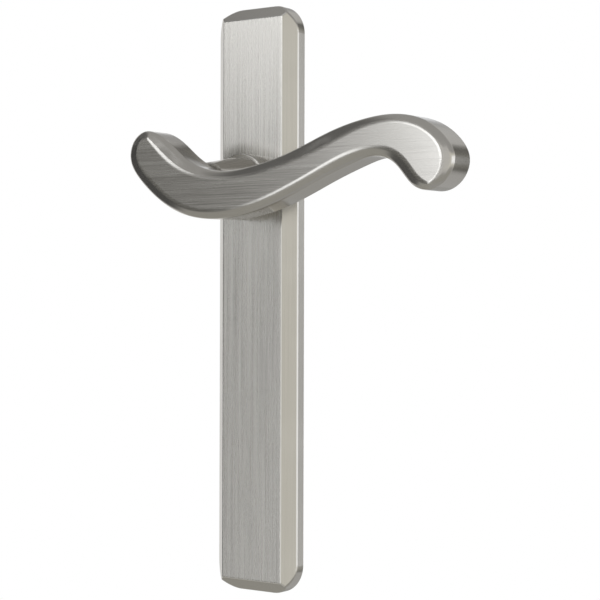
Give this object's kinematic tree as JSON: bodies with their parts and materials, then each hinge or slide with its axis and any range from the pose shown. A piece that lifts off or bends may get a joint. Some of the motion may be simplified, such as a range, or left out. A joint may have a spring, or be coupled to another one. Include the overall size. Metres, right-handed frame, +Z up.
{
  "type": "lever door handle on a long escutcheon plate",
  "caption": "S-curved door lever with a flared neck on a long bevelled escutcheon plate, with spring cage, square half spindle and threaded mounting posts.",
  "frame": {"origin": "on the spindle axis, in the plane of the door's face that the plate rests on", "axes": "+Z up along the plate, +X along the lever's grip, +Y into the door, so the plate's front faces -Y"},
  "size_m": [0.1438, 0.069, 0.2286],
  "materials": {
    "satin_nickel_plate": "satin nickel plating over cast zinc, brushed along its length",
    "satin_nickel_lever": "satin nickel plating over cast zinc, brushed along the grip",
    "satin_nickel_collar": "satin nickel plating over turned brass",
    "white_nylon": "moulded nylon",
    "zinc_plated_steel": "zinc plated steel",
    "spring_steel": "oiled spring steel",
    "sintered_steel": "sintered steel"
  },
  "bodies": {
    "plate": {"escutcheon": "satin_nickel_plate", "trim_collar": "satin_nickel_collar", "bearing_bush": "white_nylon", "thrust_washer": "white_nylon", "spring_cage": "zinc_plated_steel", "cage_cover": "zinc_plated_steel", "cage_screws": "zinc_plated_steel", "stop_pins": "zinc_plated_steel", "spring_anchor_pin": "zinc_plated_steel", "return_spring": "spring_steel", "cone_washer": "spring_steel", "mounting_post_upper": "zinc_plated_steel", "mounting_post_lower": "zinc_plated_steel"},
    "lever": {"lever_handle": "satin_nickel_lever", "drive_cam": "sintered_steel", "retaining_ring": "spring_steel", "spindle": "zinc_plated_steel", "spindle_pin": "spring_steel"}
  },
  "joints": [
    {"name": "lever_turn", "type": "hinge", "parent": "plate", "child": "lever", "pos_m": [0, 0, 0], "axis": [0, 1, 0], "range_deg": [0, 40], "stiffness_Nm_per_rad": 0.6, "springref_deg": -28.65, "deforming": ["return_spring"]}
  ]
}
